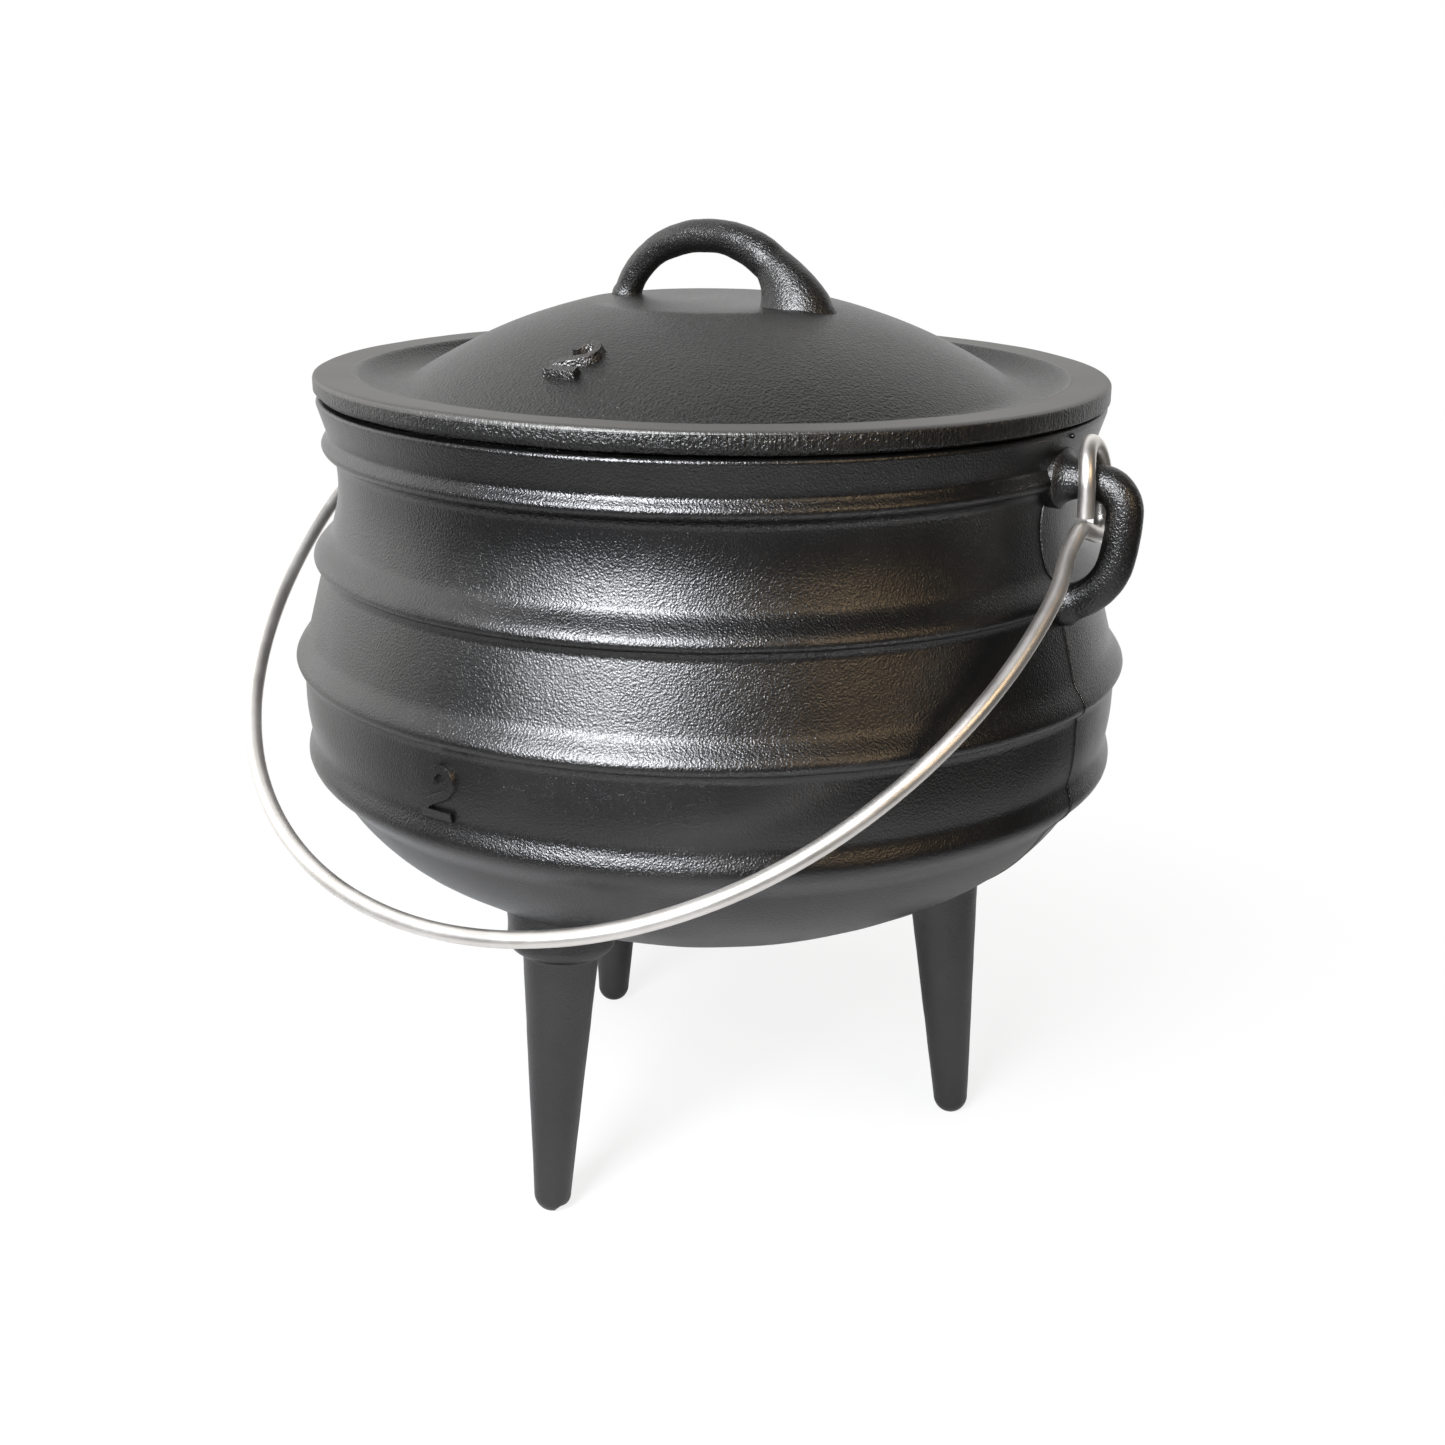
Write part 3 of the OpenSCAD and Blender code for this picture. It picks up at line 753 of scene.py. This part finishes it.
def bail_half():
    """Centre line of the wire's +X half, from the bow's bottom to the free end, as 3-D points."""
    bow_radius = HALF_SPAN - BOW_FLATTENING
    side_radius = bow_radius + BOW_FLATTENING / (1 - math.sin(math.radians(BOW_HALF_TURN)))
    half = math.radians(BOW_HALF_TURN)
    bow_centre = (0, -BOW_SIDE)
    side_centre = (
        -(side_radius - bow_radius) * math.sin(half),
        -BOW_SIDE + (side_radius - bow_radius) * math.cos(half),
    )
    swan_run = -side_centre[1] - SHOULDER_STRAIGHT
    swan_turn = 2 * math.degrees(math.atan((HALF_SPAN - EYE_X) / swan_run))
    swan_radius = swan_run / (2 * math.sin(math.radians(swan_turn)))
    swan_low = (HALF_SPAN - swan_radius, side_centre[1])
    swan_high = (
        swan_low[0] + 2 * swan_radius * math.cos(math.radians(swan_turn)),
        swan_low[1] + 2 * swan_radius * math.sin(math.radians(swan_turn)),
    )

    heading, crossing = 270 - HANG_ANGLE, 360 - CROSSING_SLOPE
    shoulder_half = (crossing - heading) / 2
    middle = math.radians((crossing + heading) / 2)
    shoulder = (-SHOULDER_FRONT, -SHOULDER_DROP)
    reach = SHOULDER_BEND / math.sin(math.radians(shoulder_half))
    shoulder_centre = (shoulder[0] + reach * math.cos(middle), shoulder[1] + reach * math.sin(middle))
    shoulder_reach = SHOULDER_BEND / math.tan(math.radians(shoulder_half))

    # One half of the bow, from its bottom up to the shoulder, in the bow's own plane
    bow = arc(bow_centre, bow_radius, -90, BOW_HALF_TURN - 90, 44)
    bow += arc(side_centre, side_radius, BOW_HALF_TURN - 90, 0, 24)[1:]
    bow += arc(swan_low, swan_radius, 0, swan_turn, 8)[1:]
    bow += arc(swan_high, swan_radius, 180 + swan_turn, 180, 8)[1:]
    bow += [(EYE_X, -SHOULDER_STRAIGHT * 0.5 - shoulder_reach * 0.5)]

    # The eye, in the plane of Y and Z about the bar's centre
    eye_radius = EAR_D / 2 + EYE_CLEARANCE + WIRE_D / 2
    slope = math.radians(CROSSING_SLOPE)
    corner_x = eye_radius - EYE_CORNER
    corner = (
        corner_x,
        shoulder[1] - (corner_x - shoulder[0]) * math.tan(slope) + EYE_CORNER / math.cos(slope),
    )
    eye = arc(shoulder_centre, SHOULDER_BEND, heading - 90, crossing - 270, 10)
    eye += arc(corner, EYE_CORNER, -90 - CROSSING_SLOPE, 0, 14)
    eye += arc((0, 0), eye_radius, 0, 180, 30)
    eye += [(-eye_radius, -FREE_END / 2), (-eye_radius, -FREE_END)]

    tilt = math.radians(90 - HANG_ANGLE)
    half_path = [
        (x, shoulder[0] + v * math.cos(tilt), BAR_Z + shoulder[1] + v * math.sin(tilt)) for x, v in bow
    ]
    for n, (y, z) in enumerate(eye):
        along = n / (len(eye) - 1)
        lean = EYE_LEAN_TOP * smooth(0.2, 0.65, along)
        lean += (EYE_LEAN_END - EYE_LEAN_TOP) * smooth(0.65, 1.0, along)
        half_path.append((EYE_X + lean, y, BAR_Z + (z * EYE_STRETCH if z > 0 else z)))
    return half_path


def bail(steel):
    """The wire, swept without a twist: each point's upward direction follows from the last one's."""
    half_path = bail_half()
    path = [(-x, y, z) for x, y, z in reversed(half_path[1:])] + half_path
    points = [Vector(p) for p in path]
    upward = Vector((1, 0, 0))
    frames = []
    for before, after in zip(points[:1] + points[:-1], points[1:] + points[-1:]):
        along = (after - before).normalized()
        upward = (upward - along * upward.dot(along)).normalized()
        frames.append(tuple(upward))
    round_wire = ellipse(WIRE_D / 2, WIRE_D / 2, 24)
    shape = sweep(path, lambda i, t: round_wire, up=lambda i: frames[i])
    piece = make_piece("bail_wire", shape, "bail", steel, angle=50)
    roughen(piece, (0.05, 9))
    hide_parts("bail")


# Numerals and seams

NUMERAL_STROKES = [
    [(-2.2, 2.5), (-2.1, 4.2), (-1.2, 5.9), (0.4, 7.1), (2.2, 7.5), (3.9, 6.7), (4.9, 5.0), (5.0, 3.0),
     (4.1, 1.2), (2.4, -0.2), (0.2, -1.3), (-2.3, -2.4), (-4.5, -3.6), (-5.8, -4.9)],
    [(-6.6, -6.4), (-3.6, -6.5), (0.0, -6.5), (4.2, -6.5)],
]


def numeral(name, place, iron, size=1.0, height=1.2, rough=None):
    """A raised figure 2 on a curved surface; place(u, v, h) gives the point h above it at (u, v)."""
    for n, stroke in enumerate(NUMERAL_STROKES, 1):
        ends = [Vector((u * size, v * size, 0)) for u, v in stroke]
        line = []
        for a, b in zip(ends, ends[1:]):
            line += [a.lerp(b, s) for s in np.linspace(0, 1, 7)[:-1]]
        line.append(ends[-1])
        for _ in range(12):
            inner = [(a + 2 * b + c) / 4 for a, b, c in zip(line, line[1:], line[2:])]
            line = [line[0]] + inner + [line[-1]]
        # A stroke is flat on top, with sloping sides that run down into the casting
        top, foot = 1.15 * size, 1.15 * size + 0.35 * height
        right = [(top, height), (top + 0.12, height - 0.15), (foot, 0.0), (foot + 0.2, -0.6)]
        outline = [(-u, h) for u, h in reversed(right)] + [(0, height)] + right
        points, faces = sweep(line, lambda i, t: outline, up=(0, 0, 1))
        points = [place(*p) for p in points]
        piece = make_piece(f"{name}_{n}", (points, faces), "pot", iron, angle=35)
        if rough:
            roughen(piece, rough)


def on_belly(u, v, h):
    """The point h off the belly, u to the right and v up from its figure's middle."""
    z = BELLY_FIGURE_Z + v
    r = Wall.radius(z) + h
    a = (u + BELLY_FIGURE_SHIFT) / BELLY_RADIUS
    return (r * math.sin(a), -r * math.cos(a), z)


def on_dome(u, v, h):
    """The point h off the dome, u to the right and v towards the crown from its figure's middle."""
    r = LID_FIGURE_RADIUS - v
    a = (u + LID_FIGURE_SHIFT) / LID_FIGURE_RADIUS
    slope = math.asin(r / LID_DOME)
    far = r + h * math.sin(slope)
    return (far * math.sin(a), -far * math.cos(a), dome_height(r) + h * math.cos(slope))


def parting_seam(name, side, iron):
    """The thin line that the mould's joint left down the wall, from the ear's root to under the bowl."""
    heights = np.linspace(192, GROUND_CLEARANCE + 4, 140)
    path = [(side * (outer_radius(z) - 0.12), 0, z) for z in heights]
    bead = ellipse(0.4, 0.3, 10)
    shape = sweep(path, lambda i, t: bead, up=(side, 0, 0.001))
    make_piece(name, shape, "pot", iron)


def core_mark(name, side, iron):
    """The low flat that the ear's core left on the wall behind its opening, with a crisp outline."""
    rows, columns = 40, 48
    points, faces = [], []
    for v in (-1 + 2 * i / (rows - 1) for i in range(rows)):
        half_width = CORE_WIDTH / 2 * max(1 - abs(v) ** 3, 0) ** (1 / 3)
        z = CORE_Z + v * CORE_HEIGHT / 2
        for u in (-1 + 2 * j / (columns - 1) for j in range(columns)):
            y = u * half_width
            # The outermost row of points is sunk in the wall
            r = outer_radius(z) + (CORE_RISE if max(abs(u), abs(v)) < 0.96 else -CORE_RISE)
            points.append((side * math.sqrt(r * r - y * y), y, z))
    for i in range(rows - 1):
        for j in range(columns - 1):
            a = i * columns + j
            faces.append((a, a + 1, a + columns + 1, a + columns))
    if side < 0:
        faces = [tuple(reversed(face)) for face in faces]
    make_piece(name, (points, faces), "pot", iron, angle=30)


def pip(name, angle, z, radius, iron):
    """A small round pimple of iron on the wall."""
    points, faces = lathe(arc((0, 0), radius, -90, 90, 12), 24)
    place = Matrix.Rotation(math.radians(angle), 3, "Z") @ Vector((outer_radius(z), 0, z))
    points = [tuple(place + Vector(p)) for p in points]
    make_piece(name, (points, faces), "pot", iron)


# Camera, lights and surroundings

def add_camera():
    """The photo's camera, for a square picture."""
    azimuth = math.radians(CAMERA_AZIMUTH)
    yaw = math.radians(CAMERA_YAW) - azimuth
    pitch, roll = math.radians(CAMERA_PITCH), math.radians(CAMERA_ROLL)
    level = Vector((math.sin(yaw), math.cos(yaw), 0))
    forward = math.cos(pitch) * level - Vector((0, 0, math.sin(pitch)))
    right = Vector((math.cos(yaw), -math.sin(yaw), 0))
    down = forward.cross(right)
    level_right = math.cos(roll) * right + math.sin(roll) * down
    level_down = -math.sin(roll) * right + math.cos(roll) * down
    camera = bpy.data.objects.new("camera", bpy.data.cameras.new("camera"))
    camera.data.lens = CAMERA_LENS
    camera.data.sensor_width = 36
    camera.data.sensor_fit = "HORIZONTAL"
    camera.data.clip_start = 0.01
    turned = Matrix((level_right, -level_down, -forward)).transposed().to_4x4()
    across = CAMERA_DISTANCE * math.sin(azimuth)
    place = Vector((across, -CAMERA_DISTANCE * math.cos(azimuth), CAMERA_HEIGHT))
    camera.matrix_world = Matrix.Translation(place) @ turned
    bpy.context.scene.collection.objects.link(camera)
    bpy.context.scene.camera = camera


def add_light(name, azimuth, elevation, distance, size, power, colour=(1, 1, 1)):
    """A rectangular lamp aimed at the pot's middle; its azimuth is measured as the camera's is."""
    lamp = bpy.data.lights.new(name, "AREA")
    lamp.shape = "RECTANGLE"
    lamp.size, lamp.size_y = size
    lamp.energy = power
    lamp.color = colour
    a, e = math.radians(azimuth), math.radians(elevation)
    offset = Vector((math.sin(a) * math.cos(e), -math.cos(a) * math.cos(e), math.sin(e))) * distance
    obj = bpy.data.objects.new(name, lamp)
    obj.location = Vector((0, 0, 0.17)) + offset
    obj.rotation_euler = offset.to_track_quat("Z", "Y").to_euler()
    bpy.context.scene.collection.objects.link(obj)


def backdrop_grey(nodes, links, direction):
    """Grey of the room in a direction: the white backdrop, fading to the dim side at ROOM_AZIMUTH."""
    azimuth = math.radians(ROOM_AZIMUTH)
    heading = (math.sin(azimuth), -math.cos(azimuth), 0.0)
    facing = vector_node(nodes, links, "DOT_PRODUCT", direction, heading)
    tone = nodes.new("ShaderNodeValToRGB")
    tone.color_ramp.interpolation = "EASE"
    for stop, (place, grey) in zip(tone.color_ramp.elements, BACKDROP_STOPS):
        stop.position = place
        stop.color = (grey, grey, grey, 1)
    links.new(spread(nodes, links, facing, -1, 1, 0, 1), tone.inputs["Fac"])
    return tone.outputs["Color"]


def background(nodes, grey=1.0):
    """A Background node of an even grey."""
    node = nodes.new("ShaderNodeBackground")
    node.inputs["Color"].default_value = (1, 1, 1, 1)
    node.inputs["Strength"].default_value = grey
    return node


def shader_mix(nodes, links, factor, first, second):
    """A Mix Shader's output."""
    node = nodes.new("ShaderNodeMixShader")
    links.new(factor, node.inputs["Fac"])
    links.new(first, node.inputs[1])
    links.new(second, node.inputs[2])
    return node.outputs["Shader"]


def add_world():
    """White to the camera. Reflections show the white backdrop behind and a dim room in front."""
    world = bpy.data.worlds.new("room")
    world.use_nodes = True
    nodes, links = world.node_tree.nodes, world.node_tree.links
    nodes.clear()
    path = nodes.new("ShaderNodeLightPath")
    coords = nodes.new("ShaderNodeTexCoord").outputs["Generated"]
    backdrop = background(nodes)
    links.new(backdrop_grey(nodes, links, coords), backdrop.inputs["Color"])
    room = shader_mix(
        nodes, links, path.outputs["Is Glossy Ray"],
        background(nodes, ROOM_LEVEL).outputs["Background"], backdrop.outputs["Background"],
    )
    seen = math_node(
        nodes, links, "MAXIMUM", path.outputs["Is Camera Ray"], path.outputs["Is Transmission Ray"]
    )
    room = shader_mix(nodes, links, seen, room, background(nodes).outputs["Background"])
    out = nodes.new("ShaderNodeOutputWorld")
    links.new(room, out.inputs["Surface"])
    bpy.context.scene.world = world


def add_floor():
    """A pale table. To the camera it is white wherever the object's shadow doesn't fall. To light and in
    reflections its colour is painted shade: grey near the pot, fading to near black farther out, for the
    dim room past the table.
    """
    material, nodes, links, shader = new_material("table_paper")
    shader.inputs["Roughness"].default_value = 0.9
    shader.inputs["Specular IOR Level"].default_value = 0.0
    coords = nodes.new("ShaderNodeTexCoord").outputs["Object"]
    path = nodes.new("ShaderNodeLightPath")
    far = vector_node(nodes, links, "LENGTH", coords)
    # To light and in reflections the table is painted grey near the pot and near black beyond half a
    # metre: painted shade for the dim room, dimmer than the white the camera sees
    paper_and_room_shade = spread(nodes, links, far, 0.2, 0.5, 0, 1)
    paper_and_room_shade = ramp(nodes, links, paper_and_room_shade, 0.0, 1.0, (0.52, 0.52, 0.52), (0.03, 0.03, 0.03))
    paper_and_room_shade = colour_mix(nodes, links, path.outputs["Is Camera Ray"], paper_and_room_shade, (0.9, 0.9, 0.9))
    links.new(paper_and_room_shade, shader.inputs["Base Color"])

    # The share of white glow: to the camera nearly all of it, and in mirrors the backdrop far out
    glow = nodes.new("ShaderNodeEmission")
    fade = spread(nodes, links, far, 0.12, 0.34, 0.8, 1.0)
    to_camera = math_node(nodes, links, "MULTIPLY", fade, path.outputs["Is Camera Ray"])
    level = vector_node(nodes, links, "NORMALIZE", coords)
    away = spread(nodes, links, far, 0.16, 0.34, 0, 1)
    in_mirror = math_node(nodes, links, "MULTIPLY", backdrop_grey(nodes, links, level), away)
    in_mirror = math_node(nodes, links, "MULTIPLY", in_mirror, path.outputs["Is Glossy Ray"])
    amount = math_node(nodes, links, "MAXIMUM", to_camera, in_mirror)
    surface = shader_mix(nodes, links, amount, shader.outputs["BSDF"], glow.outputs["Emission"])
    links.new(surface, nodes["Material Output"].inputs["Surface"])

    half = 4.0
    mesh = bpy.data.meshes.new("floor")
    corners = [(-half, -half, 0), (half, -half, 0), (half, half, 0), (-half, half, 0)]
    mesh.from_pydata(corners, [], [(0, 1, 2, 3)])
    mesh.materials.append(material)
    floor = bpy.data.objects.new("floor", mesh)
    bpy.context.scene.collection.objects.link(floor)


# The scene

body_iron = iron_material("iron_body")
# The ears and the lid handle get the darker iron, whose extra darkness is painted shade
rough_iron = iron_material("iron_handles", 1.1, 1.35, shine=-0.05, tones=HANDLE_SHADED_TONES)
figure_iron = iron_material("iron_figure", 1.4, 1.9, shine=-0.05, tones=FIGURE_TONES)
lid_iron = iron_material("iron_lid", 1.4, 1.5, shine=-0.05, tones=LID_TONES, rim=True)
steel = wire_material()

bowl(body_iron)
for number, angle in enumerate(LEG_ANGLES, 1):
    leg(number, angle, body_iron)
ear("ear_right", 1, rough_iron)
ear("ear_left", -1, rough_iron)
lid(lid_iron)
lid_handle(rough_iron)
bail(steel)
numeral("belly_figure", on_belly, body_iron)
numeral("lid_figure", on_dome, figure_iron, size=0.9, height=2.2, rough=(0.3, 1.6))
parting_seam("seam_right", 1, body_iron)
parting_seam("seam_left", -1, body_iron)
core_mark("core_mark_right", 1, body_iron)
core_mark("core_mark_left", -1, body_iron)
pip("casting_pip", PIP_ANGLE, PIP_Z, PIP_RADIUS, body_iron)

add_camera()
add_light("window", 7, 31, 1.6, (0.6, 0.85), 52, (0.92, 0.95, 1.0))
add_light("warm_side", 74, 26, 1.6, (0.45, 0.5), 3.5, (1.0, 0.72, 0.42))
add_light("left_wall", -78, 22, 1.7, (1.6, 1.5), 6)
add_world()
add_floor()

bpy.context.scene.view_settings.view_transform = "Standard"
